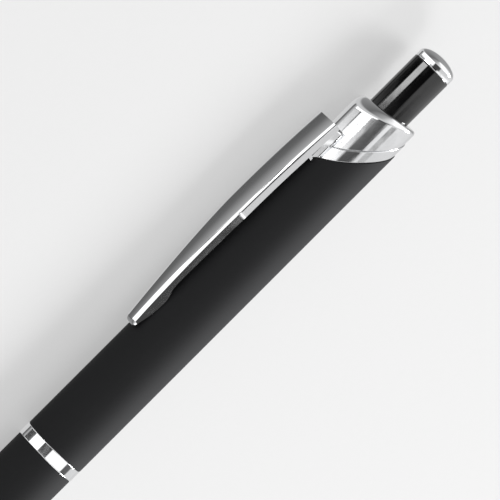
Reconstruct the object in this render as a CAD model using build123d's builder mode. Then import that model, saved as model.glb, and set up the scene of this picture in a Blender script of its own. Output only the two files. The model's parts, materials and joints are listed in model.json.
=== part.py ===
"""Retractable ballpoint pen, lying on its barrel and on one edge of its clip.

Every turned piece is drawn as (station, radius): the station is the distance in millimetres
behind the writing end, measured along the pen's axis. The row frame has +X towards the writing
end, +Z up and the bench at Z = 0.
"""

from build123d import *
from math import asin, atan2, cos, hypot, pi, sin, sqrt, tan
import os

# ---- driving dimensions, in millimetres ----
pen_length = 141.0
barrel_radius = 5.25
lower_radius = 5.2

# stations along the pen
nose_end = 14.0
spigot_end = 21.0
connector_front = 45.0
band_front = 57.45
band_back = 59.5
insert_back = 72.0
sleeve_front = 97.0
cut_station = 121.45
collar_length = 2.35
core_end = 127.0
housing_top = 129.6
cap_front = 138.6
dome_front = 139.5

# slopes of the slanted joints: station lost per millimetre of height towards the clip
cut_slope = 0.90
rim_slope = 0.17

# outside radii of the chrome pieces at the button end
collar_radius = 5.12
housing_radius = 5.0

# clip: a pressed channel that bows away from the barrel
clip_front = 80.5
clip_back = 122.6
clip_peak_station = 103.5
clip_peak = 7.75
clip_bow = 240.0
clip_half_width = 3.05
clip_mid_half_width = 2.82
clip_tip_half_width = 1.5
clip_sheet = 0.42
clip_edge = 0.4
clip_hinge_station = 120.9

# lower edge of the walls of the clip, as (station, height): the side, then the leaf-shaped foot
wall_back = (clip_back, 5.62)
wall_side = ((110.0, 6.14), (102.0, 6.2), (95.0, 6.1))
foot_back = (88.5, 5.9)
foot_heel = (87.6, 5.4)
foot_low = (86.3, 5.12)
foot_side = (83.3, 5.3)
wall_front = (clip_front, 5.85)
front_tab = ((116.45, 6.1), (117.0, 6.1), (116.7, 5.3), (116.25, 5.3))

# pad of the collar and pedestal of the housing, under the root of the clip
pad_half_width = 2.4
pad_floor = 4.5
pad_height = 5.55
pedestal_back = 122.3
pedestal_height = 6.15

# tubes and bores
core_radius = 4.3
core_bore = 3.8
insert_radius = 4.6
connector_radius = 4.4
spigot_radius = 4.3
refill_bore = 3.6
connector_bore = 3.1

# screw joint between the two barrels
thread_pitch = 1.0
thread_root = 3.65
thread_crest = 4.15
thread_front = 60.2
thread_turns = 6.5

# push mechanism
running_gap = 0.05
plunger_radius = 3.3
plunger_bore = 2.5
bush_bore = 3.38
cam_radius = 2.95
cam_bore = 1.5
rib_radius = 3.1
lug_radius = 3.7
rib_front = 100.8
rib_back = 109.6
groove_count = 4
tooth_count = 8
tooth_height = 0.9
rotor_top = 105.0
driver_shoulder = 117.4

# refill, standing where its point is just inside the nose
refill_front = 2.3
refill_length = 98.1
refill_radius = 2.925
refill_inside = 2.6
neck_radius = 1.18
neck_length = 12.6
ball_radius = 0.5

# spring between the nose and the shoulder of the refill
spring_seat = 3.2
spring_radius = 1.75
spring_wire = 0.35
spring_turns = 8

# small rounds, chamfers and laps
edge_round = 0.12
edge_break = 0.1
rim_round = 0.7
lap = 0.1
cut_margin = 10.0

# ---- how the pen lies: the clip rolls down until its edge meets the bench ----
corner_height = clip_peak - clip_edge
corner_width = clip_half_width - clip_edge
corner_reach = hypot(corner_height, corner_width)
clip_roll = asin((barrel_radius - clip_edge) / corner_reach) - atan2(corner_width, corner_height)
clip_reach = corner_height * cos(clip_roll) + corner_width * sin(clip_roll) + clip_edge
axis_offset = (clip_reach - barrel_radius) / 2

tip = Vector(pen_length / 2, axis_offset, barrel_radius)
clip_direction = Vector(0, -cos(clip_roll), -sin(clip_roll))
across_direction = Vector(0, -sin(clip_roll), cos(clip_roll))
pen_axis = Axis(tip, (-1, 0, 0))

# local x is the station in both: lengthwise has y towards the clip, plan has y across it
lengthwise = Plane(origin=tip, x_dir=(-1, 0, 0), z_dir=across_direction)
plan = Plane(origin=tip, x_dir=(-1, 0, 0), z_dir=clip_direction)


def cross_plane(station):
    """Plane square to the axis at a station, facing the button, with x towards the clip."""
    return Plane(origin=tip - Vector(station, 0, 0), x_dir=clip_direction, z_dir=(-1, 0, 0))


def slanted_plane(station, slope):
    """Plane through the axis at a station, leaning so that the clip side is nearer the tip."""
    normal = Vector(-1, 0, 0) + clip_direction * slope
    return Plane(origin=tip - Vector(station, 0, 0), z_dir=normal)


def outline(*points):
    """Closed outline through (station, radius) points in the lengthwise plane."""
    with BuildSketch(lengthwise) as drawing:
        with BuildLine():
            Polyline(*points, close=True)
        make_face()
    return drawing.sketch


def ring(front, back, bore, radius):
    """Outline of a plain tube between two stations."""
    return outline((front, bore), (back, bore), (back, radius), (front, radius))


def ridge_outline(front, height):
    """Outline of the pad or the pedestal, before the slanted cuts."""
    return outline(
        (front, pad_floor),
        (pedestal_back, pad_floor),
        (pedestal_back, height),
        (front, height),
    )


def bow_height(station, drop=0.0):
    """Height of the bowed face of the clip above the pen's axis."""
    return clip_peak - drop - (station - clip_peak_station) ** 2 / (2 * clip_bow)


def helix_section(front, turns, radius, half_root, half_crest, height):
    """Helix about the pen's axis, and the ridge or groove section at its start."""
    foot = edge_break
    start = tip - Vector(front, 0, 0)
    with BuildLine() as path:
        Helix(thread_pitch, turns * thread_pitch, radius, center=start, direction=(-1, 0, 0))
    section_plane = Plane(path.line @ 0, x_dir=path.line @ 0 - start, z_dir=path.line % 0)
    with BuildSketch(section_plane) as section:
        with BuildLine():
            Polyline(
                (-foot, -half_root),
                (height, -half_crest),
                (height, half_crest),
                (-foot, half_root),
                close=True,
            )
        make_face()
    return path.line, section.sketch


def spread(section, centre, width):
    """Blocks of one section, one for each groove: centre and width are angles about the axis."""
    for groove in range(groove_count):
        first = centre - width / 2 + 360 / groove_count * groove
        revolve(section.rotate(pen_axis, first), axis=pen_axis, revolution_arc=width)


def crown(base, height):
    """Ring of pointed teeth that stand on a station; a negative height points them at the tip."""
    half_tooth = tan(pi / tooth_count)
    with BuildPart() as wedge:
        for reach in (lap, cam_radius + lap):
            with BuildSketch(plan.offset(reach)):
                with BuildLine():
                    Polyline(
                        (base, -reach * half_tooth),
                        (base + height * reach / cam_radius, 0),
                        (base, reach * half_tooth),
                        close=True,
                    )
                make_face()
        loft()
    with BuildPart() as teeth:
        for tooth in range(tooth_count):
            add(wedge.part.rotate(pen_axis, 360 / tooth_count * tooth))
        revolve(
            ring(base - tooth_height, base + tooth_height, cam_bore, cam_radius),
            axis=pen_axis,
            mode=Mode.INTERSECT,
        )
    return teeth.part


os.makedirs("parts", exist_ok=True)

cut_plane = slanted_plane(cut_station, cut_slope)
seam_plane = slanted_plane(cut_station + collar_length, cut_slope)
rim_plane = slanted_plane(housing_top, rim_slope)

# ---- nose cone: a bullet with a spigot that is pressed into the lower barrel ----
mouth_radius = 1.45
point_bore = 1.3
spring_bore = 2.1
nose_cavity = 3.2
cavity_front = 7.2
cavity_cone = 1.0
with BuildPart() as nose_cone:
    with BuildSketch(lengthwise):
        with BuildLine():
            TangentArc((nose_end, lower_radius), (0, mouth_radius), tangent=(-1, 0))
            Polyline(
                (0, mouth_radius),
                (0, point_bore),
                (spring_seat, point_bore),
                (spring_seat, spring_bore),
                (cavity_front, spring_bore),
                (cavity_front + cavity_cone, nose_cavity),
                (spigot_end, nose_cavity),
                (spigot_end, spigot_radius),
                (nose_end, spigot_radius),
                (nose_end, lower_radius),
            )
        make_face()
    revolve(axis=pen_axis)
    mouth_edges = nose_cone.edges().filter_by(GeomType.CIRCLE).sort_by(Axis.X)[-2:]
    fillet(mouth_edges.sort_by(SortBy.RADIUS)[-1], edge_round)
nose_cone.part.label = "nose_cone"
export_step(nose_cone.part, "parts/nose_cone.step")

# ---- lower barrel: a tube, stepped inside for the nose spigot and the connector ----
end_gap = 0.5
with BuildPart() as lower_barrel:
    revolve(
        outline(
            (nose_end, spigot_radius),
            (spigot_end + end_gap, spigot_radius),
            (spigot_end + end_gap, refill_bore),
            (connector_front - end_gap, refill_bore),
            (connector_front - end_gap, connector_radius),
            (band_front, connector_radius),
            (band_front, lower_radius - edge_break),
            (band_front - edge_break, lower_radius),
            (nose_end + edge_break, lower_radius),
            (nose_end, lower_radius - edge_break),
        ),
        axis=pen_axis,
    )
lower_barrel.part.label = "lower_barrel"
export_step(lower_barrel.part, "parts/lower_barrel.step")

# ---- threaded connector: pressed into the lower barrel, screws into the upper one ----
neck_of_connector = 3.9
connector_back = thread_front + thread_turns * thread_pitch + 1.2
thread_lead_in = 0.2
ridge_root = 0.4
ridge_crest = 0.08
with BuildPart() as threaded_connector:
    revolve(
        outline(
            (connector_front, connector_bore),
            (connector_back, connector_bore),
            (connector_back, thread_root - thread_lead_in),
            (connector_back - thread_lead_in, thread_root),
            (band_back, thread_root),
            (band_back, neck_of_connector),
            (band_front, neck_of_connector),
            (band_front, connector_radius),
            (connector_front, connector_radius),
        ),
        axis=pen_axis,
    )
    ridge_path, ridge = helix_section(
        thread_front, thread_turns, thread_root, ridge_root, ridge_crest, thread_crest - thread_root
    )
    sweep(ridge, path=ridge_path, is_frenet=True)
threaded_connector.part.label = "threaded_connector"
export_step(threaded_connector.part, "parts/threaded_connector.step")

# ---- centre band: a chrome ring clamped between the two barrels ----
with BuildPart() as centre_band:
    revolve(
        ring(band_front, band_back, neck_of_connector + running_gap, barrel_radius),
        axis=pen_axis,
    )
    band_edges = centre_band.edges().filter_by(GeomType.CIRCLE).sort_by(SortBy.RADIUS)
    fillet(band_edges[-2:], edge_round)
centre_band.part.label = "centre_band"
export_step(centre_band.part, "parts/centre_band.step")

# ---- threaded insert: the nut that is pressed into the upper barrel ----
thread_play = 0.1
female_root = thread_root + thread_play
groove_runout = 2
groove_path, groove = helix_section(
    thread_front - groove_runout * thread_pitch,
    thread_turns + 2.5 * groove_runout,
    female_root,
    ridge_root + running_gap,
    ridge_crest + running_gap,
    thread_crest - thread_root + thread_play / 5,
)
with BuildPart() as thread_groove:
    sweep(groove, path=groove_path, is_frenet=True)

with BuildPart() as threaded_insert:
    with BuildSketch(Plane(origin=tip - Vector(band_back, 0, 0), z_dir=(-1, 0, 0))):
        Circle(insert_radius)
        Circle(female_root, mode=Mode.SUBTRACT)
    extrude(amount=insert_back - band_back)
    add(thread_groove.part, mode=Mode.SUBTRACT)
threaded_insert.part.label = "threaded_insert"
export_step(threaded_insert.part, "parts/threaded_insert.step")

# ---- upper barrel: a tube with a slanted upper end ----
with BuildPart() as upper_barrel:
    revolve(
        outline(
            (band_back, insert_radius),
            (insert_back, insert_radius),
            (insert_back, core_radius),
            (cut_station + cut_margin, core_radius),
            (cut_station + cut_margin, barrel_radius),
            (band_back + edge_break, barrel_radius),
            (band_back, barrel_radius - edge_break),
        ),
        axis=pen_axis,
    )
    split(bisect_by=cut_plane, keep=Keep.BOTTOM)
    slanted_edges = upper_barrel.edges().filter_by(GeomType.ELLIPSE).sort_by(SortBy.LENGTH)
    fillet(slanted_edges[-1], edge_round)
upper_barrel.part.label = "upper_barrel"
export_step(upper_barrel.part, "parts/upper_barrel.step")

# ---- clip collar: a slanted chrome ring with a low pad under the root of the clip ----
with BuildPart() as clip_collar:
    revolve(
        ring(cut_station - cut_margin, cut_station + cut_margin, core_radius, collar_radius),
        axis=pen_axis,
    )
    extrude(ridge_outline(cut_station - cut_margin, pad_height), amount=pad_half_width, both=True)
    split(bisect_by=cut_plane, keep=Keep.TOP)
    split(bisect_by=seam_plane, keep=Keep.BOTTOM)
clip_collar.part.label = "clip_collar"
export_step(clip_collar.part, "parts/clip_collar.step")

# ---- top housing: the chrome nose of the button end, with the pedestal that holds the clip ----
lip_bore = 3.42
slot_length = 1.0
slot_half_width = 1.4
with BuildPart() as top_housing:
    revolve(
        outline(
            (cut_station - cut_margin, core_radius),
            (core_end, core_radius),
            (core_end, lip_bore),
            (housing_top + cut_margin, lip_bore),
            (housing_top + cut_margin, housing_radius),
            (cut_station - cut_margin, housing_radius),
        ),
        axis=pen_axis,
    )
    split(bisect_by=rim_plane, keep=Keep.BOTTOM)
    rim_edges = top_housing.edges().filter_by(GeomType.ELLIPSE).sort_by(SortBy.LENGTH)
    fillet(rim_edges[-1], rim_round)
    extrude(
        ridge_outline(cut_station - cut_margin, pedestal_height),
        amount=pad_half_width,
        both=True,
    )
    split(bisect_by=seam_plane, keep=Keep.TOP)
    with BuildSketch(plan.offset(core_radius + lap)):
        with Locations((clip_hinge_station, 0)):
            Rectangle(slot_length, 2 * slot_half_width)
    extrude(amount=pedestal_height, mode=Mode.SUBTRACT)
top_housing.part.label = "top_housing"
export_step(top_housing.part, "parts/top_housing.step")

# ---- clip: pressed channel with a closed front end, two leaf-shaped feet and a rear tongue ----
hollow_front = clip_front + clip_sheet
hollow_back = clip_back + 1.0
with BuildPart() as clip_hollow:
    with BuildSketch(lengthwise):
        with BuildLine():
            ThreePointArc(
                (hollow_front, bow_height(hollow_front, clip_sheet)),
                (clip_peak_station, bow_height(clip_peak_station, clip_sheet)),
                (hollow_back, bow_height(hollow_back, clip_sheet)),
            )
            Polyline(
                (hollow_back, bow_height(hollow_back, clip_sheet)),
                (hollow_back, pad_floor),
                (hollow_front, pad_floor),
                (hollow_front, bow_height(hollow_front, clip_sheet)),
            )
        make_face()
    extrude(amount=clip_half_width, both=True)
    with BuildSketch(plan):
        with BuildLine():
            Polyline(
                (clip_front, clip_sheet - clip_tip_half_width),
                (clip_peak_station, clip_sheet - clip_mid_half_width),
                (hollow_back, clip_sheet - clip_half_width),
                (hollow_back, clip_half_width - clip_sheet),
                (clip_peak_station, clip_mid_half_width - clip_sheet),
                (clip_front, clip_tip_half_width - clip_sheet),
                close=True,
            )
        make_face()
    extrude(amount=barrel_radius * 2, mode=Mode.INTERSECT)

tongue_foot = core_radius + 0.25
tongue_length = 2.2
tongue_half_width = slot_half_width - 0.15
with BuildPart() as clip:
    with BuildSketch(lengthwise):
        with BuildLine():
            ThreePointArc(
                (clip_front, bow_height(clip_front)),
                (clip_peak_station, clip_peak),
                (clip_back, bow_height(clip_back)),
            )
            Line((clip_back, bow_height(clip_back)), wall_back)
            ThreePointArc(wall_back, wall_side[0], wall_side[1])
            ThreePointArc(wall_side[1], wall_side[2], foot_back)
            ThreePointArc(foot_back, foot_heel, foot_low)
            ThreePointArc(foot_low, foot_side, wall_front)
            Line(wall_front, (clip_front, bow_height(clip_front)))
        make_face()
        with BuildLine():
            Polyline(*front_tab, close=True)
        make_face()
    extrude(amount=clip_half_width, both=True)
    with BuildSketch(plan):
        with BuildLine():
            Polyline(
                (clip_front, -clip_tip_half_width),
                (clip_peak_station, -clip_mid_half_width),
                (clip_back, -clip_half_width),
                (clip_back, clip_half_width),
                (clip_peak_station, clip_mid_half_width),
                (clip_front, clip_tip_half_width),
                close=True,
            )
        make_face()
    extrude(amount=barrel_radius * 2, mode=Mode.INTERSECT)
    face_edges = clip.faces().sort_by(Axis(tip, clip_direction))[-1].edges()
    fillet(face_edges.filter_by(lambda edge: edge.length > clip_half_width * 3), clip_edge)
    add(clip_hollow.part, mode=Mode.SUBTRACT)
    with BuildSketch(plan.offset(tongue_foot)):
        with Locations((clip_hinge_station, 0)):
            Rectangle(clip_sheet, 2 * tongue_half_width)
    extrude(amount=tongue_length)
clip.part.label = "clip"
export_step(clip.part, "parts/clip.step")

# ---- cam sleeve: the tube whose ribs guide and stop the click mechanism ----
groove_angle = 180 / groove_count
with BuildPart() as cam_sleeve:
    revolve(ring(sleeve_front, core_end, core_bore, core_radius), axis=pen_axis)
    spread(ring(rib_front, rib_back, rib_radius, core_bore + lap), groove_angle, groove_angle)
cam_sleeve.part.label = "cam_sleeve"
export_step(cam_sleeve.part, "parts/cam_sleeve.step")

# ---- guide bush: the plastic lining in which the push button slides ----
with BuildPart() as guide_bush:
    revolve(ring(rib_back, core_end, bush_bore, core_bore), axis=pen_axis)
guide_bush.part.label = "guide_bush"
export_step(guide_bush.part, "parts/guide_bush.step")

# ---- plunger cam: slides in the grooves and pushes the rotor with its pointed crown ----
crown_gap = 0.05
driver_base = rotor_top + 1.5 * tooth_height + crown_gap
driver_lug_angle = groove_angle - 5
driver_lug_length = 2.0
stem_back = 123.0
with BuildPart() as plunger_cam:
    revolve(
        outline(
            (driver_base, cam_bore),
            (stem_back, cam_bore),
            (stem_back, plunger_bore),
            (driver_shoulder, plunger_bore),
            (driver_shoulder, cam_radius),
            (driver_base, cam_radius),
        ),
        axis=pen_axis,
    )
    add(crown(driver_base, -tooth_height))
    driver_lug = ring(
        rib_back - driver_lug_length, rib_back - running_gap, cam_radius - lap, lug_radius
    )
    spread(driver_lug, 0, driver_lug_angle)
plunger_cam.part.label = "plunger_cam"
export_step(plunger_cam.part, "parts/plunger_cam.step")

# ---- rotor cam: half a tooth out of mesh at rest, so that each press turns it ----
refill_back = refill_front + refill_length
rotor_phase = 90 / tooth_count
rotor_lug_angle = 20
rotor_lug_length = 2.5
with BuildPart() as rotor_cam:
    revolve(ring(refill_back + running_gap, rotor_top, cam_bore, cam_radius), axis=pen_axis)
    add(crown(rotor_top, tooth_height).rotate(pen_axis, rotor_phase))
    rotor_lug = ring(rotor_top - rotor_lug_length, rotor_top, cam_radius - lap, lug_radius)
    spread(rotor_lug, -rotor_phase, rotor_lug_angle)
rotor_cam.part.label = "rotor_cam"
export_step(rotor_cam.part, "parts/rotor_cam.step")

# ---- push button: a gloss sleeve with a chrome cap ----
with BuildPart() as plunger_sleeve:
    revolve(ring(driver_shoulder, cap_front, plunger_bore, plunger_radius), axis=pen_axis)
plunger_sleeve.part.label = "plunger_sleeve"
export_step(plunger_sleeve.part, "parts/plunger_sleeve.step")

cap_spigot = 134.0
with BuildPart() as plunger_cap:
    with BuildSketch(lengthwise):
        with BuildLine():
            Polyline(
                (pen_length, 0),
                (cap_spigot, 0),
                (cap_spigot, plunger_bore),
                (cap_front, plunger_bore),
                (cap_front, plunger_radius),
                (dome_front, plunger_radius),
            )
            EllipticalCenterArc(
                (dome_front, 0), pen_length - dome_front, plunger_radius, start_angle=0, arc_size=90
            )
        make_face()
    revolve(axis=pen_axis)
plunger_cap.part.label = "plunger_cap"
export_step(plunger_cap.part, "parts/plunger_cap.step")

# ---- refill: metal tube, point, ball, ink and rear plug ----
shoulder = refill_front + neck_length
crown_front = refill_back - 5
tube_wall = refill_radius - refill_inside
tube_chamfer = 0.4
with BuildPart() as refill_tube:
    revolve(
        outline(
            (shoulder, neck_radius),
            (shoulder + 2 * tube_wall, neck_radius),
            (shoulder + 2 * tube_wall, refill_inside),
            (crown_front, refill_inside),
            (crown_front, refill_radius),
            (shoulder + tube_chamfer, refill_radius),
            (shoulder, refill_radius - tube_chamfer),
        ),
        axis=pen_axis,
    )
refill_tube.part.label = "refill_tube"
export_step(refill_tube.part, "parts/refill_tube.step")

ball_station = refill_front + ball_radius
socket_radius = ball_radius + 0.02
rim_front = ball_station - 0.2
rim_radius = ball_radius + 0.1
cone_back = refill_front + 2.6
rim_bore = sqrt(socket_radius**2 - (ball_station - rim_front) ** 2)
feed_radius = 0.3
feed_front = ball_station + sqrt(socket_radius**2 - feed_radius**2)
neck_back = shoulder + 3
with BuildPart() as refill_point:
    with BuildSketch(lengthwise):
        with BuildLine():
            ThreePointArc((rim_front, rim_bore), (ball_station, socket_radius), (feed_front, feed_radius))
            Polyline(
                (feed_front, feed_radius),
                (neck_back, feed_radius),
                (neck_back, neck_radius),
                (cone_back, neck_radius),
                (rim_front, rim_radius),
                (rim_front, rim_bore),
            )
        make_face()
    revolve(axis=pen_axis)
refill_point.part.label = "refill_point"
export_step(refill_point.part, "parts/refill_point.step")

with BuildPart() as refill_ball:
    with Locations(tip - Vector(ball_station, 0, 0)):
        Sphere(ball_radius)
refill_ball.part.label = "refill_ball"
export_step(refill_ball.part, "parts/refill_ball.step")

ink_back = 84.0
with BuildPart() as ink_column:
    with BuildSketch(cross_plane(neck_back)):
        Circle(refill_inside)
    extrude(amount=ink_back - neck_back)
ink_column.part.label = "ink_column"
export_step(ink_column.part, "parts/ink_column.step")

vent_radius = 0.6
plug_front = crown_front - 6
crown_chamfer = 0.2
notch_width = 0.9
notch_depth = 0.8
with BuildPart() as refill_crown:
    revolve(
        outline(
            (plug_front, vent_radius),
            (refill_back, vent_radius),
            (refill_back, refill_radius - crown_chamfer),
            (refill_back - crown_chamfer, refill_radius),
            (crown_front, refill_radius),
            (crown_front, refill_inside),
            (plug_front, refill_inside),
        ),
        axis=pen_axis,
    )
    with BuildSketch(cross_plane(refill_back)):
        Rectangle(notch_width, 2 * lug_radius)
        Rectangle(2 * lug_radius, notch_width)
    extrude(amount=-notch_depth, mode=Mode.SUBTRACT)
refill_crown.part.label = "refill_crown"
export_step(refill_crown.part, "parts/refill_crown.step")

# ---- return spring: between the seat in the nose and the shoulder of the refill ----
spring_front = spring_seat + spring_wire / 2 + running_gap
spring_length = shoulder - running_gap - spring_wire / 2 - spring_front
spring_start = tip - Vector(spring_front, 0, 0)
with BuildPart() as refill_spring:
    with BuildLine() as coil:
        Helix(
            spring_length / spring_turns,
            spring_length,
            spring_radius,
            center=spring_start,
            direction=(-1, 0, 0),
        )
    with BuildSketch(Plane(coil.line @ 0, x_dir=coil.line @ 0 - spring_start, z_dir=coil.line % 0)):
        Circle(spring_wire / 2)
    sweep(path=coil.line, is_frenet=True)
refill_spring.part.label = "refill_spring"
export_step(refill_spring.part, "parts/refill_spring.step")
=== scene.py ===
"""Looks of the retractable ballpoint pen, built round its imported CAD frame.

Lengths below are in millimetres, as in the pen's own design: a station is a distance behind the
writing end, a height is measured from the pen's axis towards the clip, and a side runs across
the clip. at() turns them into a point of the frame, in metres.
"""

import json
import math

import bmesh
import bpy
from mathutils import Matrix, Vector


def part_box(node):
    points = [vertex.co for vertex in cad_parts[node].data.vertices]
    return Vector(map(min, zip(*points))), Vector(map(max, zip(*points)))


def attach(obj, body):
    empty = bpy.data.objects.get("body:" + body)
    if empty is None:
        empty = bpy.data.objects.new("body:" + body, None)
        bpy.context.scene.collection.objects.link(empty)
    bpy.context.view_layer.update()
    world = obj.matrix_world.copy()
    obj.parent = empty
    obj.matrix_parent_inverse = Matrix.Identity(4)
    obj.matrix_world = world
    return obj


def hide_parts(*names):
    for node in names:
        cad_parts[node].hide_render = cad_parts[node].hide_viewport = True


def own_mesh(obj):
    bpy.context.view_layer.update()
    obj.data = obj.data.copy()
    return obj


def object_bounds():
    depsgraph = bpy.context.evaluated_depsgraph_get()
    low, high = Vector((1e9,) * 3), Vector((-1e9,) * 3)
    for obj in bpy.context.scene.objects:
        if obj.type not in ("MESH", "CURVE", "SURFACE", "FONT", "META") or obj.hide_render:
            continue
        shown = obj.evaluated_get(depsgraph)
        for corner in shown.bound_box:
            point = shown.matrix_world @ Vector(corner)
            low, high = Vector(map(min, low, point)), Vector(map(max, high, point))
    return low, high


MM = 0.001
ROUND = 144  # segments round a turned piece
SUPPORT = 0.02  # distance of the edge ring beside each fillet, which keeps wide faces flat

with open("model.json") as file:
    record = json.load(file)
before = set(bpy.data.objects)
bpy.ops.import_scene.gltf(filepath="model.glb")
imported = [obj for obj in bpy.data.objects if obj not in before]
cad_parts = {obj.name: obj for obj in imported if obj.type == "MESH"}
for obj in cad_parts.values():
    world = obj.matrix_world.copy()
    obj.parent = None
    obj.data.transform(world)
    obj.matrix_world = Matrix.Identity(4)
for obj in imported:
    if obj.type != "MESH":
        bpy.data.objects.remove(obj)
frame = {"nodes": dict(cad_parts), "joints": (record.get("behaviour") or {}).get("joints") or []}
cad_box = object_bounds()

# ---- the pen's axis and directions, read from the frame ----
barrel_low, barrel_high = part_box("upper_barrel")
barrel_radius = (barrel_high.y - barrel_low.y) / 2 / MM
axis_point = (barrel_low + barrel_high) / 2
tip = Vector((cad_box[1].x, axis_point.y, axis_point.z))
across = Vector(next(j["axis"] for j in frame["joints"] if j["name"] == "clip_flex"))
towards_clip = across.cross(Vector((1, 0, 0)))


def at(station, height=0.0, side=0.0):
    """Point of the frame at a station, a height towards the clip and a side across it."""
    return tip + MM * (Vector((-station, 0, 0)) + towards_clip * height + across * side)


def half_height(node):
    """Outside radius of a round CAD node, in millimetres."""
    low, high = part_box(node)
    return (high.z - low.z) / 2 / MM


def span(node):
    """First and last station of a CAD node."""
    low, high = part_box(node)
    return (tip.x - high.x) / MM, (tip.x - low.x) / MM


# ---- stations and sizes that the pieces share ----
nose_front, spigot_back = span("nose_cone")
lower_front, band_front = span("lower_barrel")
band_back = span("centre_band")[1]
sleeve_front, cap_front = span("plunger_sleeve")
cap_spigot, pen_length = span("plunger_cap")
dome_front = cap_front + 0.9
lower_radius = half_height("lower_barrel")
plunger_radius = half_height("plunger_sleeve")
core_radius = half_height("cam_sleeve")
core_back = span("cam_sleeve")[1]
clip_front, clip_back = span("clip")

cut_slope = 0.90
rim_slope = 0.17
cut_station = 121.45
collar_length = 2.35
housing_top = 129.6
housing_radius = 5.0
collar_radius = 5.12
pad_half_width = 2.4
pad_height = 5.55
pedestal_height = 6.15
pedestal_back = 122.3


# ---- mesh helpers ----
def new_piece(name, mesh, body, node, material, sharp=40):
    """Object from a bmesh: it rides on a body, stands for a CAD node and has one material."""
    bmesh.ops.remove_doubles(mesh, verts=mesh.verts, dist=1e-7)
    bmesh.ops.recalc_face_normals(mesh, faces=mesh.faces)
    data = bpy.data.meshes.new(name)
    mesh.to_mesh(data)
    mesh.free()
    data.shade_smooth()
    data.set_sharp_from_angle(angle=math.radians(sharp))
    piece = bpy.data.objects.new(name, data)
    bpy.context.scene.collection.objects.link(piece)
    piece.data.materials.append(material)
    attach(piece, body)
    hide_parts(node)
    return piece


def rounded(*corners, steps=7):
    """Closed outline with its corners rounded: (station, radius, fillet, slope) for each."""
    points = []
    count = len(corners)
    for i, (station, radius, fillet, slope) in enumerate(corners):
        corner = Vector((station, radius))
        back = (Vector(corners[i - 1][:2]) - corner).normalized()
        ahead = (Vector(corners[(i + 1) % count][:2]) - corner).normalized()
        if fillet == 0:
            points.append((station, radius, slope))
            continue
        half = back.angle(ahead) / 2
        reach = fillet / math.tan(half)
        centre = corner + (back + ahead).normalized() * (fillet / math.sin(half))
        first = corner + back * reach - centre
        last = corner + ahead * reach - centre
        turn = first.angle_signed(last)
        before = corner + back * (reach + SUPPORT)
        after = corner + ahead * (reach + SUPPORT)
        points.append((before.x, before.y, slope))
        for k in range(steps + 1):
            point = centre + Matrix.Rotation(-turn * k / steps, 2) @ first
            points.append((point.x, point.y, slope))
        points.append((after.x, after.y, slope))
    return points


def turn_outline(mesh, points, segments=ROUND, clip_side=None):
    """Turn a closed outline about the pen's axis; a slope leans a point's circle to the clip.

    clip_side is a second outline that takes over on the side of the clip.
    """
    rings = []
    for j in range(segments):
        angle = 2 * math.pi * j / segments
        share = (0.5 + 0.5 * math.cos(angle)) ** 2 if clip_side else 0
        ring = []
        for k, (station, radius, slope) in enumerate(points):
            if share:
                station += (clip_side[k][0] - station) * share
                radius += (clip_side[k][1] - radius) * share
            height = radius * math.cos(angle)
            ring.append(mesh.verts.new(at(station - slope * height, height, radius * math.sin(angle))))
        rings.append(ring)
    for j in range(segments):
        here, there = rings[j], rings[(j + 1) % segments]
        for i in range(len(points)):
            k = (i + 1) % len(points)
            mesh.faces.new((here[i], here[k], there[k], there[i]))


def turned(name, points, body, material, segments=ROUND):
    """A piece turned about the pen's axis, which stands for the CAD node of the same name."""
    mesh = bmesh.new()
    turn_outline(mesh, points, segments)
    return new_piece(name + "_look", mesh, body, name, material)


# ---- materials ----
def node_material(name, **values):
    """Principled material and its node tree, with uniform values on the shader's own sockets."""
    material = bpy.data.materials.new(name)
    material.use_nodes = True
    tree = material.node_tree
    shader = tree.nodes["Principled BSDF"]
    for socket, value in values.items():
        shader.inputs[socket.replace("_", " ")].default_value = value
    return material, tree, shader


def coordinates(tree, scale):
    """Object coordinates in millimetres, stretched by a scale along each axis."""
    source = tree.nodes.new("ShaderNodeTexCoord")
    mapping = tree.nodes.new("ShaderNodeMapping")
    mapping.inputs["Scale"].default_value = [s / MM for s in scale]
    tree.links.new(source.outputs["Object"], mapping.inputs["Vector"])
    return mapping.outputs["Vector"]


def noise(tree, scale, detail=3.0, roughness=0.55):
    """Noise whose scale is in features per millimetre along each axis."""
    texture = tree.nodes.new("ShaderNodeTexNoise")
    texture.inputs["Scale"].default_value = 1.0
    texture.inputs["Detail"].default_value = detail
    texture.inputs["Roughness"].default_value = roughness
    tree.links.new(coordinates(tree, scale), texture.inputs["Vector"])
    return texture.outputs["Fac"]


def remap(tree, value, low, high, from_low=0.3, from_high=0.7):
    """A value of a texture mapped to a range."""
    node = tree.nodes.new("ShaderNodeMapRange")
    node.inputs["From Min"].default_value = from_low
    node.inputs["From Max"].default_value = from_high
    node.inputs["To Min"].default_value = low
    node.inputs["To Max"].default_value = high
    tree.links.new(value, node.inputs["Value"])
    return node.outputs["Result"]


def blend_colours(tree, factor, first, second):
    """Mix of two colours by a factor."""
    node = tree.nodes.new("ShaderNodeMix")
    node.data_type = "RGBA"
    node.inputs["A"].default_value = (*first, 1)
    node.inputs["B"].default_value = (*second, 1)
    tree.links.new(factor, node.inputs["Factor"])
    return node.outputs["Result"]


def bump(tree, shader, height, strength, distance, previous=None):
    """Bump from a height in millimetres."""
    node = tree.nodes.new("ShaderNodeBump")
    node.inputs["Strength"].default_value = strength
    node.inputs["Distance"].default_value = distance * MM
    tree.links.new(height, node.inputs["Height"])
    if previous is not None:
        tree.links.new(previous, node.inputs["Normal"])
    tree.links.new(node.outputs["Normal"], shader.inputs["Normal"])
    return node.outputs["Normal"]


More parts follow.
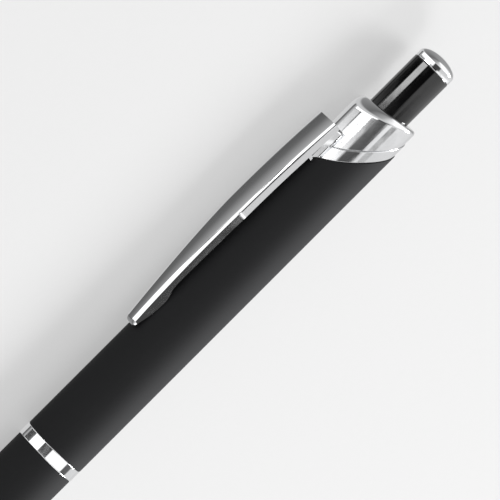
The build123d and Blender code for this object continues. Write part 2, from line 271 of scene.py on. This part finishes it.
def soft_touch():
    """Rubbery charcoal coating: a fine grain, faint handling marks and a broad soft gloss."""
    material, tree, shader = node_material("soft_touch", Specular_IOR_Level=0.08)
    patches = noise(tree, (0.15, 0.3, 0.3), detail=4)
    grain = noise(tree, (14, 14, 14), detail=2)
    tree.links.new(
        blend_colours(tree, patches, (0.0225, 0.0228, 0.0238), (0.0265, 0.0268, 0.0280)),
        shader.inputs["Base Color"],
    )
    tree.links.new(remap(tree, patches, 0.58, 0.68), shader.inputs["Roughness"])
    bump(tree, shader, grain, 0.35, 0.012)
    return material


def bright_chrome():
    """Plated metal: clear reflections with a slight orange peel and the haze of fine scratches."""
    material, tree, shader = node_material("bright_chrome", Metallic=1.0)
    tint = (0.90, 0.905, 0.915)
    haze = noise(tree, (0.5, 0.8, 0.8), detail=5)
    peel = noise(tree, (0.45, 0.7, 0.7), detail=1)
    scratches = noise(tree, (0.6, 22, 22), detail=3, roughness=0.7)
    darker = tuple(0.965 * c for c in tint)
    tree.links.new(blend_colours(tree, haze, tint, darker), shader.inputs["Base Color"])
    tree.links.new(remap(tree, haze, 0.035, 0.085), shader.inputs["Roughness"])
    first = bump(tree, shader, peel, 0.03, 0.02)
    bump(tree, shader, scratches, 0.05, 0.002, previous=first)
    return material


def gloss_black():
    """Polished black plastic with faint handling haze."""
    material, tree, shader = node_material("gloss_black", Specular_IOR_Level=0.6)
    haze = noise(tree, (0.4, 0.9, 0.9), detail=5)
    tree.links.new(
        blend_colours(tree, haze, (0.0015, 0.0015, 0.0017), (0.0030, 0.0030, 0.0033)),
        shader.inputs["Base Color"],
    )
    tree.links.new(remap(tree, haze, 0.03, 0.07), shader.inputs["Roughness"])
    bump(tree, shader, noise(tree, (0.4, 0.8, 0.8), detail=1), 0.08, 0.02)
    return material


def moulded_plastic(name, first, second):
    """Moulded engineering plastic with a fine spark-eroded texture."""
    material, tree, shader = node_material(name)
    patches = noise(tree, (0.4, 0.4, 0.4), detail=3)
    tree.links.new(blend_colours(tree, patches, first, second), shader.inputs["Base Color"])
    tree.links.new(remap(tree, patches, 0.38, 0.5), shader.inputs["Roughness"])
    bump(tree, shader, noise(tree, (8, 8, 8), detail=2), 0.2, 0.01)
    return material


def drawn_metal(name, first, second, roughness):
    """Drawn or turned metal: streaks along the pen and a little tarnish."""
    material, tree, shader = node_material(name, Metallic=1.0)
    streaks = noise(tree, (0.25, 12, 12), detail=4)
    tree.links.new(blend_colours(tree, streaks, first, second), shader.inputs["Base Color"])
    tree.links.new(remap(tree, streaks, roughness * 0.75, roughness * 1.3), shader.inputs["Roughness"])
    bump(tree, shader, streaks, 0.15, 0.004)
    return material


def ink_paste():
    """Dark blue-black paste."""
    material, tree, shader = node_material("ink_paste")
    swirl = noise(tree, (0.6, 0.6, 0.6), detail=3)
    tree.links.new(
        blend_colours(tree, swirl, (0.004, 0.006, 0.03), (0.008, 0.010, 0.05)),
        shader.inputs["Base Color"],
    )
    tree.links.new(remap(tree, swirl, 0.15, 0.3), shader.inputs["Roughness"])
    return material


barrel_coat = soft_touch()
chrome = bright_chrome()
button_black = gloss_black()
natural_plastic = moulded_plastic("natural_plastic", (0.72, 0.71, 0.68), (0.80, 0.79, 0.76))
grey_plastic = moulded_plastic("grey_plastic", (0.20, 0.20, 0.21), (0.27, 0.27, 0.28))
tube_steel = drawn_metal("tube_steel", (0.56, 0.55, 0.52), (0.70, 0.69, 0.67), 0.28)
point_brass = drawn_metal("point_brass", (0.62, 0.48, 0.25), (0.80, 0.66, 0.38), 0.22)
wire_steel = drawn_metal("wire_steel", (0.45, 0.45, 0.46), (0.62, 0.62, 0.63), 0.25)
ball_carbide = drawn_metal("ball_carbide", (0.30, 0.30, 0.31), (0.38, 0.38, 0.39), 0.15)
ink = ink_paste()

# ---- stations that come from how the pieces meet ----
insert_back = span("threaded_insert")[1]
connector_front = span("threaded_connector")[0]
connector_radius = half_height("threaded_connector")
insert_radius = half_height("threaded_insert")
spigot_radius = 4.3
band_bore = 3.95
refill_bore = 3.6
lip_bore = 3.42
joint_gap = 0.02
plunger_bore = 2.5
nose_back = lower_front
seam_station = cut_station + collar_length


# ---- barrels and centre band ----
def make_barrels():
    """Both barrels as real tubes, with small rounds where they meet the chrome."""
    turned(
        "upper_barrel",
        rounded(
            (band_back, insert_radius, 0, 0),
            (insert_back, insert_radius, 0, 0),
            (insert_back, core_radius, 0, 0),
            (cut_station, core_radius, 0, cut_slope),
            (cut_station, barrel_radius, 0.16, cut_slope),
            (band_back, barrel_radius, 0.13, 0),
        ),
        "upper_half",
        barrel_coat,
    )
    turned(
        "lower_barrel",
        rounded(
            (lower_front, spigot_radius, 0, 0),
            (spigot_back + 0.5, spigot_radius, 0, 0),
            (spigot_back + 0.5, refill_bore, 0, 0),
            (connector_front - 0.5, refill_bore, 0, 0),
            (connector_front - 0.5, connector_radius, 0, 0),
            (band_front, connector_radius, 0, 0),
            (band_front, lower_radius, 0.13, 0),
            (lower_front, lower_radius, 0.13, 0),
        ),
        "lower_half",
        barrel_coat,
    )
    turned(
        "centre_band",
        rounded(
            (band_front + joint_gap, band_bore, 0, 0),
            (band_back, band_bore, 0, 0),
            (band_back, barrel_radius, 0.16, 0),
            (band_front + joint_gap, barrel_radius, 0.16, 0),
        ),
        "band",
        chrome,
    )


def make_nose():
    """Bullet-shaped nose with its bore, spring seat and spigot."""
    mouth, bore, spring_bore, cavity = 1.45, 1.3, 2.1, 3.2
    seat, cavity_front = 3.2, 7.2
    bow = (nose_back**2 + (lower_radius - mouth) ** 2) / (2 * (lower_radius - mouth))
    points = []
    for k in range(41):
        turn = math.asin(nose_back / bow) * k / 40
        points.append((nose_back - bow * math.sin(turn), lower_radius - bow * (1 - math.cos(turn)), 0))
    before_mouth = points[-2]
    points[-1:] = rounded(
        (before_mouth[0], before_mouth[1], 0, 0),
        (0, mouth, 0.12, 0),
        (0, bore, 0.04, 0),
        (1, bore, 0, 0),
        steps=6,
    )[1:-1]
    points += [
        (seat, bore, 0),
        (seat, spring_bore, 0),
        (cavity_front, spring_bore, 0),
        (cavity_front + 1, cavity, 0),
        (spigot_back, cavity, 0),
        (spigot_back, spigot_radius, 0),
        (nose_back, spigot_radius, 0),
    ]
    turned("nose_cone", points, "lower_half", chrome)


# ---- collar and housing ----
def ridge_section(radius, half_width, height, fillet, edge, steps=6):
    """Half of a section through a round body with a ridge on it: (height, side) from top to base."""
    centre_height = math.sqrt((radius + fillet) ** 2 - (half_width + fillet) ** 2)
    points = [(height, half_width * k / 6 * (1 - edge / half_width)) for k in range(6)]
    for k in range(steps + 1):
        turn = math.pi / 2 * k / steps
        points.append(
            (height - edge * (1 - math.cos(turn)), half_width - edge * (1 - math.sin(turn)))
        )
    foot = math.atan2(half_width + fillet, centre_height)
    for k in range(steps + 1):
        turn = (math.pi / 2 - foot) * k / steps
        points.append(
            (centre_height - fillet * math.sin(turn), half_width + fillet - fillet * math.cos(turn))
        )
    return points, foot


def make_collar():
    """Slanted ring with a low pad under the root of the clip, one closed shell."""
    half, foot = ridge_section(collar_radius, pad_half_width, pad_height, 0.35, 0.2)
    count = 100
    for k in range(1, count + 1):
        angle = foot + (math.pi - foot) * k / count
        half.append((collar_radius * math.cos(angle), collar_radius * math.sin(angle)))
    contour = half + [(h, -s) for h, s in reversed(half[1:-1])]
    normals = []
    for i, (h, s) in enumerate(contour):
        before, after = contour[i - 1], contour[(i + 1) % len(contour)]
        run = Vector((after[0] - before[0], after[1] - before[1])).normalized()
        normals.append((run.y, -run.x))
    edge = 0.14
    front, back = cut_station, seam_station
    arc = []
    for k in range(6):
        turn = math.pi / 2 * k / 5
        arc.append((edge * (1 - math.cos(turn)), edge * (1 - math.sin(turn))))
    arc.append((edge + SUPPORT, 0.0))
    profile = [(front, None)] + [(front + along, inset) for along, inset in arc]
    profile += [(back - along, inset) for along, inset in reversed(arc)] + [(back, None)]
    mesh = bmesh.new()
    rings = []
    for (h, s), (nh, ns) in zip(contour, normals):
        ring = []
        for station, inset in profile:
            if inset is None:
                angle = math.atan2(s, h)
                point = (core_radius * math.cos(angle), core_radius * math.sin(angle))
            else:
                point = (h - nh * inset, s - ns * inset)
            ring.append(mesh.verts.new(at(station - cut_slope * point[0], *point)))
        rings.append(ring)
    for i, here in enumerate(rings):
        there = rings[(i + 1) % len(rings)]
        for k in range(len(profile)):
            j = (k + 1) % len(profile)
            mesh.faces.new((here[k], here[j], there[j], there[k]))
    new_piece("clip_collar_look", mesh, "upper_half", "clip_collar", chrome, sharp=50)


def make_housing():
    """Round housing with a slanted rim, and the pedestal that rises from it to hold the clip."""
    mesh = bmesh.new()
    rim_inside = lip_bore + 0.15
    rim_reach, rim_stretch = 1.5, 1.7
    small_rim, large_rim = 0.55, 1.35

    def outline(rim):
        return rounded(
            (seam_station, core_radius, 0, cut_slope),
            (core_back, core_radius, 0, 0),
            (core_back, lip_bore, 0, 0),
            (housing_top, lip_bore, 0.12, rim_slope),
            (housing_top, housing_radius, rim, rim_slope),
            (seam_station, housing_radius, 0.14, cut_slope),
            steps=12,
        )

    def stretched(station, radius, slope):
        if station > housing_top - rim_reach and radius > rim_inside:
            station = housing_top - rim_stretch * (housing_top - station)
        return station, radius, slope

    long_rim = [stretched(*point) for point in outline(large_rim)]
    turn_outline(mesh, outline(small_rim), segments=180, clip_side=long_rim)
    add_pedestal(mesh)
    new_piece("top_housing_look", mesh, "upper_half", "top_housing", chrome, sharp=50)


def add_pedestal(mesh):
    """Block with round edges on the housing, flared into it at the foot and slotted on top."""
    half_width, height, back = pad_half_width, pedestal_height, pedestal_back
    edge, flare, corner, draft = 0.22, 0.35, 0.3, 0.45
    path = [(None, -half_width, 0.0, -1.0)]
    for sign in (-1, 1):
        arc = []
        for k in range(7):
            turn = math.pi / 2 * k / 6
            arc.append((back - corner * (1 - math.sin(turn)),
                        half_width - corner * (1 - math.cos(turn)), math.sin(turn), math.cos(turn)))
        if sign < 0:
            path += [(s, -y, ns, -ny) for s, y, ns, ny in arc]
        else:
            path += reversed(arc)
    path.append((None, half_width, 0.0, 1.0))
    columns = []
    lifted = housing_radius + 0.002
    for station, side, normal_s, normal_y in path:
        column = []

        def put(out, up, station=station, side=side, normal_s=normal_s, normal_y=normal_y):
            y = side + normal_y * out
            s = seam_station - cut_slope * up if station is None else station + normal_s * out
            column.append(mesh.verts.new(at(s, up, y)))

        for k in range(6):
            turn = math.pi / 2 * k / 5
            put(-draft - edge * (1 - math.sin(turn)), height - edge * (1 - math.cos(turn)))
        out_y = side + normal_y * flare
        centre_up = math.sqrt((lifted + flare) ** 2 - out_y**2)
        start = Vector((-normal_s, -normal_y, 0))
        end = Vector((0, -out_y, -centre_up)).normalized()
        full = start.angle(end)
        for k in range(8):
            part = k / 7
            v = (math.sin((1 - part) * full) * start + math.sin(part * full) * end) / math.sin(full)
            y = out_y + v.y * flare
            up = centre_up + v.z * flare
            s = seam_station - cut_slope * up if station is None else station + normal_s * flare + v.x * flare
            column.append(mesh.verts.new(at(s, up, y)))
        columns.append(column)
    for here, there in zip(columns, columns[1:]):
        for k in range(len(here) - 1):
            mesh.faces.new((here[k], here[k + 1], there[k + 1], there[k]))
    left, right = columns[0], columns[-1]
    for k in range(len(left) - 1):
        mesh.faces.new((left[k], left[k + 1], right[k + 1], right[k]))
    slot_front, slot_back, slot_side, slot_floor = 120.4, 121.4, 1.4, 4.4
    loop = [
        (slot_front, -slot_side),
        (slot_back, -slot_side),
        (slot_back, slot_side),
        (slot_front, slot_side),
    ]
    upper = [mesh.verts.new(at(s, height, y)) for s, y in loop]
    lower = [mesh.verts.new(at(s, slot_floor, y)) for s, y in loop]
    for k in range(4):
        j = (k + 1) % 4
        mesh.faces.new((upper[k], upper[j], lower[j], lower[k]))
    mesh.faces.new(lower)
    tops = [c[0] for c in columns]
    rim = []
    for k in range(len(tops)):
        first, second = tops[k], tops[(k + 1) % len(tops)]
        rim.append(mesh.edges.get((first, second)) or mesh.edges.new((first, second)))
    for k in range(4):
        rim.append(mesh.edges.get((upper[k], upper[(k + 1) % 4])))
    bmesh.ops.triangle_fill(mesh, edges=rim, use_beauty=True)


# ---- clip ----
clip_peak_station = 103.5
clip_peak = 7.75
clip_bow = 240.0
clip_back_half, clip_mid_half, clip_tip_half = 3.05, 2.82, 1.5
clip_sheet = 0.42
clip_crown = 0.12
tip_corner = 0.75


def smooth_through(knots, station):
    """Value at a station of a curve through knots, level at each turning point."""
    for i in range(len(knots) - 1):
        (s0, v0), (s1, v1) = knots[i], knots[i + 1]
        if station <= s1 or i == len(knots) - 2:
            before = knots[i - 1] if i else knots[i]
            after = knots[i + 2] if i + 2 < len(knots) else knots[i + 1]
            width = s1 - s0
            m0 = (v1 - before[1]) / (s1 - before[0])
            m1 = (after[1] - v0) / (after[0] - s0)
            chord = (v1 - v0) / width
            m0 = 0 if m0 * chord <= 0 else math.copysign(min(abs(m0), 3 * abs(chord)), chord)
            m1 = 0 if m1 * chord <= 0 else math.copysign(min(abs(m1), 3 * abs(chord)), chord)
            t = min(max((station - s0) / width, 0), 1)
            return (
                v0 * (1 + 2 * t) * (1 - t) ** 2
                + width * m0 * t * (1 - t) ** 2
                + v1 * t**2 * (3 - 2 * t)
                + width * m1 * t**2 * (t - 1)
            )


# lower edge of the side walls, as (station, height), with the leaf-shaped foot near the tip
WALL = [
    (80.5, 5.85),
    (81.4, 5.68),
    (83.3, 5.31),
    (85.2, 5.13),
    (86.4, 5.13),
    (87.4, 5.36),
    (88.2, 5.72),
    (89.2, 5.93),
    (91.0, 6.02),
    (95.0, 6.1),
    (102.0, 6.2),
    (110.0, 6.14),
    (117.0, 5.88),
    (122.6, 5.62),
]


def wall_foot(station):
    """Height of the lower edge of the clip's side walls."""
    return smooth_through(WALL, station)


def clip_half_width(station):
    """Half width of the clip: it tapers a little to the middle, and more from there to the tip."""
    if station > clip_peak_station:
        share = (clip_back - station) / (clip_back - clip_peak_station)
        return clip_back_half + (clip_mid_half - clip_back_half) * share
    share = min((clip_peak_station - station) / (clip_peak_station - clip_front), 1)
    return clip_mid_half + (clip_tip_half - clip_mid_half) * share


def shoulder(station):
    """Radius of the bend between the face and the walls: softer towards the tip."""
    share = min(max((104.0 - station) / 18.0, 0), 1)
    return 0.52 + 0.26 * share * share * (3 - 2 * share)


def clip_shell(mesh, inset):
    """Grid over one skin of the clip: rows across it, from the rear end round to the tip."""
    corner = tip_corner - inset
    sides = []
    stations = [clip_back]
    step = 0.35
    while stations[-1] - step > clip_front + tip_corner:
        stations.append(stations[-1] - step)
    stations.append(clip_front + tip_corner)
    for station in stations:
        sides.append((station, clip_half_width(station) - inset, 0.0, 1.0))
    base_half = clip_half_width(clip_front + tip_corner) - inset
    for k in range(1, 9):
        turn = math.pi / 2 * k / 8
        sides.append((clip_front + inset + corner * (1 - math.sin(turn)),
                      base_half - corner * (1 - math.cos(turn)), -math.sin(turn), math.cos(turn)))
    flat = base_half - corner
    for k in range(1, 5):
        sides.append((clip_front + inset, flat * (1 - k / 4), -1.0, 0.0))
    rows = []
    for station, half, normal_s, normal_y in sides:
        row = []
        true_station = min(max(station, clip_front), clip_back)
        foot = wall_foot(true_station)
        top = bow(true_station) - inset
        edge = max(shoulder(true_station) - inset, 0.08)
        column = []
        for k in range(5):
            column.append((0.0, foot + (top - edge - foot) * k / 4))
        for k in range(1, 9):
            turn = math.pi / 2 * k / 8
            column.append((-edge * (1 - math.cos(turn)), top - edge * (1 - math.sin(turn))))
        for out, up in column:
            row.append((station + normal_s * out, up, half + normal_y * out))
        inner_half = half - normal_y * edge
        inner_station = station - normal_s * edge
        face = []
        for k in range(1, 8):
            face.append(inner_half * (1 - k / 8))
        for y in face:
            row.append((inner_station, top + crown_rise(y, inner_half), y))
        row.append((inner_station, top + crown_rise(0, inner_half), 0.0))
        mirrored = [(s, up, -y) for s, up, y in reversed(row[:-1])]
        rows.append([mesh.verts.new(at(*p)) for p in row + mirrored])
    for here, there in zip(rows, rows[1:]):
        for k in range(len(here) - 1):
            mesh.faces.new((here[k], here[k + 1], there[k + 1], there[k]))
    return rows


def bow(station):
    """Height of the bowed face of the clip."""
    return clip_peak - clip_crown - (station - clip_peak_station) ** 2 / (2 * clip_bow)


def crown_rise(side, half):
    """The face is slightly crowned across."""
    return clip_crown * (half**2 - side**2) / clip_back_half**2


def make_clip():
    """Pressed channel: an outer and an inner skin joined round their lower edges."""
    mesh = bmesh.new()
    outer = clip_shell(mesh, 0.0)
    inner = clip_shell(mesh, clip_sheet)
    for k in (0, -1):
        for i in range(len(outer) - 1):
            mesh.faces.new((outer[i][k], outer[i + 1][k], inner[i + 1][k], inner[i][k]))
    for k in range(len(outer[0]) - 1):
        mesh.faces.new((outer[0][k], outer[0][k + 1], inner[0][k + 1], inner[0][k]))
    piece = new_piece("clip_look", mesh, "clip", "clip", chrome, sharp=48)
    soften(piece, 0.1)
    tabs = bmesh.new()
    tab_side = clip_half_width(116.5)
    outline = [(116.45, 6.1), (117.0, 6.1), (116.72, 5.3), (116.25, 5.3)]
    for sign in (-1, 1):
        skin = [
            [tabs.verts.new(at(s, h, sign * side)) for s, h in outline]
            for side in (tab_side - clip_sheet, tab_side - 0.03)
        ]
        tabs.faces.new(skin[0])
        tabs.faces.new(list(reversed(skin[1])))
        for k in range(4):
            j = (k + 1) % 4
            tabs.faces.new((skin[0][k], skin[1][k], skin[1][j], skin[0][j]))
    tongue = [(120.69, 4.55), (121.11, 4.55), (121.11, 6.75), (120.69, 6.75)]
    skin = [[tabs.verts.new(at(s, h, side)) for s, h in tongue] for side in (-1.25, 1.25)]
    tabs.faces.new(skin[0])
    tabs.faces.new(list(reversed(skin[1])))
    for k in range(4):
        j = (k + 1) % 4
        tabs.faces.new((skin[0][k], skin[1][k], skin[1][j], skin[0][j]))
    soften(new_piece("clip_tabs", tabs, "clip", "clip", chrome), 0.05)


def soften(piece, width):
    """Small rounds on the sharp edges of a piece."""
    modifier = piece.modifiers.new("rounds", "BEVEL")
    modifier.width = width * MM
    modifier.segments = 3
    modifier.limit_method = "ANGLE"
    modifier.angle_limit = math.radians(50)
    modifier.use_clamp_overlap = True
    modifier.harden_normals = True


# ---- push button ----
def make_button():
    """Gloss sleeve and its domed chrome cap."""
    turned(
        "plunger_sleeve",
        rounded(
            (sleeve_front, plunger_bore, 0, 0),
            (cap_front, plunger_bore, 0, 0),
            (cap_front, plunger_radius, 0.1, 0),
            (sleeve_front, plunger_radius, 0.1, 0),
        ),
        "button",
        button_black,
    )
    points = [(cap_spigot, 0.0, 0), (cap_spigot, plunger_bore, 0), (cap_front, plunger_bore, 0)]
    points += rounded(
        (cap_front, plunger_bore, 0, 0),
        (cap_front, plunger_radius, 0.12, 0),
        (dome_front, plunger_radius, 0, 0),
    )[1:]
    for k in range(1, 33):
        turn = math.pi / 2 * k / 32
        points.append((dome_front + (pen_length - dome_front) * math.sin(turn),
                       plunger_radius * math.cos(turn), 0))
    turned("plunger_cap", points, "button", chrome)


# ---- refill ----
def make_spring():
    """Coil spring with closed end coils."""
    front, back = span("refill_spring")
    wire = 0.175
    coil = half_height("refill_spring") - wire
    turns, dead = 9.0, 1.25
    closed_pitch = 2.2 * wire
    steps = 40
    mesh = bmesh.new()
    rings = []
    total = int(turns * steps)
    live = back - front - 2 * wire - 2 * dead * closed_pitch
    for i in range(total + 1):
        turn = i / steps
        if turn < dead:
            advance = turn * closed_pitch
        elif turn > turns - dead:
            advance = back - front - 2 * wire - (turns - turn) * closed_pitch
        else:
            advance = dead * closed_pitch + live * (turn - dead) / (turns - 2 * dead)
        angle = 2 * math.pi * turn
        ring = []
        for k in range(12):
            around = 2 * math.pi * k / 12
            radius = coil + wire * math.cos(around)
            ring.append(mesh.verts.new(at(front + wire + advance + wire * math.sin(around),
                                          radius * math.cos(angle), radius * math.sin(angle))))
        rings.append(ring)
    for here, there in zip(rings, rings[1:]):
        for k in range(12):
            j = (k + 1) % 12
            mesh.faces.new((here[k], here[j], there[j], there[k]))
    mesh.faces.new(rings[0])
    mesh.faces.new(list(reversed(rings[-1])))
    piece = new_piece("refill_spring_look", mesh, "upper_half", "refill_spring", wire_steel)
    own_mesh(piece)


def finish_inner_nodes():
    """CAD nodes that keep their shape get their materials."""
    finishes = {
        "cam_sleeve": natural_plastic,
        "plunger_cam": natural_plastic,
        "guide_bush": grey_plastic,
        "rotor_cam": grey_plastic,
        "refill_crown": grey_plastic,
        "threaded_connector": grey_plastic,
        "threaded_insert": grey_plastic,
        "refill_tube": tube_steel,
        "refill_point": point_brass,
        "refill_ball": ball_carbide,
        "ink_column": ink,
    }
    for node, material in finishes.items():
        data = frame["nodes"][node].data
        data.materials.clear()
        data.materials.append(material)


make_barrels()
make_nose()
make_collar()
make_housing()
make_clip()
make_button()
make_spring()
finish_inner_nodes()


# ---- floor, light and camera ----
def make_floor():
    """Large pale sheet that gives off some light. Reflections and bounced light don't see it."""
    material, tree, shader = node_material("paper", Specular_IOR_Level=0.1, Emission_Strength=0.45)
    shader.inputs["Emission Color"].default_value = (1, 1, 1, 1)
    fibres = noise(tree, (0.8, 0.8, 0.8), detail=4)
    tree.links.new(
        blend_colours(tree, fibres, (0.235, 0.235, 0.235), (0.250, 0.250, 0.250)),
        shader.inputs["Base Color"],
    )
    tree.links.new(remap(tree, fibres, 0.75, 0.85), shader.inputs["Roughness"])
    reach = 4.0
    mesh = bmesh.new()
    corners = [mesh.verts.new((x * reach, y * reach, 0)) for x, y in ((-1, -1), (1, -1), (1, 1), (-1, 1))]
    mesh.faces.new(corners)
    data = bpy.data.meshes.new("floor")
    mesh.to_mesh(data)
    mesh.free()
    data.materials.append(material)
    floor = bpy.data.objects.new("floor", data)
    floor.visible_glossy = False
    floor.visible_diffuse = False
    bpy.context.scene.collection.objects.link(floor)


def area_light(name, place, size, energy):
    """Rectangular softbox at a place, facing the pen."""
    data = bpy.data.lights.new(name, "AREA")
    data.shape = "RECTANGLE"
    data.size, data.size_y = size
    data.energy = energy
    lamp = bpy.data.objects.new(name, data)
    lamp.location = place
    lamp.rotation_euler = (-Vector(place)).to_track_quat("-Z", "Y").to_euler()
    bpy.context.scene.collection.objects.link(lamp)


def calculate(tree, operation, *values):
    """Math node over values and sockets."""
    node = tree.nodes.new("ShaderNodeMath")
    node.operation = operation
    for socket, value in zip(node.inputs, values):
        if isinstance(value, (int, float)):
            socket.default_value = value
        else:
            tree.links.new(value, socket)
    return node.outputs[0]


def ramp(tree, angle, stops):
    """Brightness of the surroundings round the pen's axis: (degrees, brightness) stops."""
    node = tree.nodes.new("ShaderNodeValToRGB")
    tree.links.new(angle, node.inputs["Fac"])
    elements = node.color_ramp.elements
    while len(elements) > 1:
        elements.remove(elements[-1])
    for k, (degrees, value) in enumerate(stops):
        place = (degrees + 180) / 360
        if k == 0:
            elements[0].position = place
        else:
            elements.new(place)
        elements[k].color = (value, value, value, 1)
    return node.outputs["Color"]


def between(tree, first, second, factor):
    """Mix of two brightnesses."""
    node = tree.nodes.new("ShaderNodeMix")
    node.data_type = "RGBA"
    tree.links.new(factor, node.inputs["Factor"])
    tree.links.new(first, node.inputs["A"])
    tree.links.new(second, node.inputs["B"])
    return node.outputs["Result"]


# Bright and dark panels round the pen: (degrees, brightness), by the angle round the pen's axis,
# where 0 is level in front, 90 is overhead, 180 is level behind and -90 is below. Each set of
# panels stands further towards the button than the one before it. Its two first numbers are the x
# of the direction where it starts and ends its fade to the next set. This isn't plain studio
# light: the sets are matched, piece by piece, to the reflections in the photograph, for the main
# camera only. From other angles the same panels give reflections that are matched to nothing.
BELOW = [(-180, 0.7), (-88, 0.66), (-86, 0.1), (-80, 0.14), (-72, 0.42), (-68, 0.5)]
ROOM = [
    (-180, 0.4), (-90, 0.25), (-20, 0.15), (0, 0.25), (30, 0.4),
    (60, 0.9), (90, 1.35), (135, 1.25), (180, 0.6),
]
CLIP = BELOW + [(-63, 1.4), (26, 1.4), (34, 0.05), (70, 0.07), (76, 0.65), (180, 0.75)]
CLIP_TIP = BELOW + [(-63, 1.4), (40, 1.4), (46, 0.06), (130, 0.06), (136, 0.6), (180, 0.7)]
BAND = BELOW + [
    (-65, 0.06), (-37, 0.06), (-33, 1.6), (7, 1.6), (11, 0.06), (43, 0.06),
    (46, 1.4), (112, 1.4), (116, 0.1), (138, 0.12), (143, 0.75), (180, 0.75),
]
HOUSING = BELOW + [
    (-62, 0.6), (-36, 0.62), (-34.5, 0.04), (-30.5, 0.04), (-28, 1.5), (-17, 1.3), (-9, 0.6),
    (0, 0.36), (66, 0.1), (68, 0.03), (70, 0.9), (82, 0.9), (85, 0.2), (100, 0.22),
    (106, 0.72), (180, 0.75),
]
BUTTON = BELOW + [
    (-66, 0.06), (-24, 0.02), (-19, 10), (9, 10), (14, 0.02), (60, 0.03),
    (66, 1.2), (140, 1.3), (180, 0.9),
]
BUTTON_END = [(-180, 0.6), (60, 0.62), (90, 0.9), (180, 0.7)]
PANELS = (
    (0.35, 0.22, ROOM),
    (0.085, 0.075, CLIP_TIP),
    (0.045, 0.035, BAND),
    (-0.0285, -0.0305, CLIP),
    (-0.0415, -0.0435, HOUSING),
    (-0.06, -0.07, BUTTON),
    (-0.15, -0.2, CLIP),
    (-0.3, -0.4, BUTTON_END),
)


def make_world():
    """Surroundings that light the pen: the sets of panels, mixed by direction along the pen."""
    world = bpy.data.worlds.new("studio")
    bpy.context.scene.world = world
    world.use_nodes = True
    tree = world.node_tree
    source = tree.nodes.new("ShaderNodeTexCoord")
    parts = tree.nodes.new("ShaderNodeSeparateXYZ")
    tree.links.new(source.outputs["Generated"], parts.inputs["Vector"])
    x, y, z = parts.outputs
    turn = calculate(tree, "ARCTAN2", z, calculate(tree, "MULTIPLY", y, -1.0))
    share = calculate(tree, "ADD", calculate(tree, "DIVIDE", turn, 2 * math.pi), 0.5)
    colour = ramp(tree, share, PANELS[0][2])
    following = [panels for _, _, panels in PANELS[1:]] + [ROOM]
    for (first, last, _), panels in zip(PANELS, following):
        fade = remap(tree, x, 0, 1, first, last)
        colour = between(tree, colour, ramp(tree, share, panels), fade)
    tree.links.new(colour, tree.nodes["Background"].inputs["Color"])


def make_camera():
    """Camera over the front of the pen, turned so that the button points to the upper right."""
    clip_roll = math.asin(-towards_clip.z)
    elevation = math.radians(60) - clip_roll
    distance = 0.724
    aim_station, aim_drop = 100.66, 0.156
    rise = Vector((0, math.sin(elevation), math.cos(elevation)))
    back = Vector((0, -math.cos(elevation), math.sin(elevation)))
    aim = at(aim_station) - rise * aim_drop * MM
    right = (Vector((-1, 0, 0)) + rise).normalized()
    up = back.cross(right)
    data = bpy.data.cameras.new("camera")
    data.lens = 351.5
    data.sensor_width = 36
    data.clip_start, data.clip_end = 0.05, 20
    camera = bpy.data.objects.new("camera", data)
    turn = Matrix((right, up, back)).transposed()
    camera.matrix_world = Matrix.Translation(aim + back * distance) @ turn.to_4x4()
    bpy.context.scene.collection.objects.link(camera)
    bpy.context.scene.camera = camera


make_floor()
make_world()
softbox_size, softbox_watts = (0.5, 0.5), 13
area_light("softbox_left", (-0.55, 0.9, 0.6), softbox_size, softbox_watts)
area_light("softbox_right", (0.55, 0.9, 0.6), softbox_size, softbox_watts)
make_camera()
bpy.context.scene.view_settings.view_transform = "Standard"
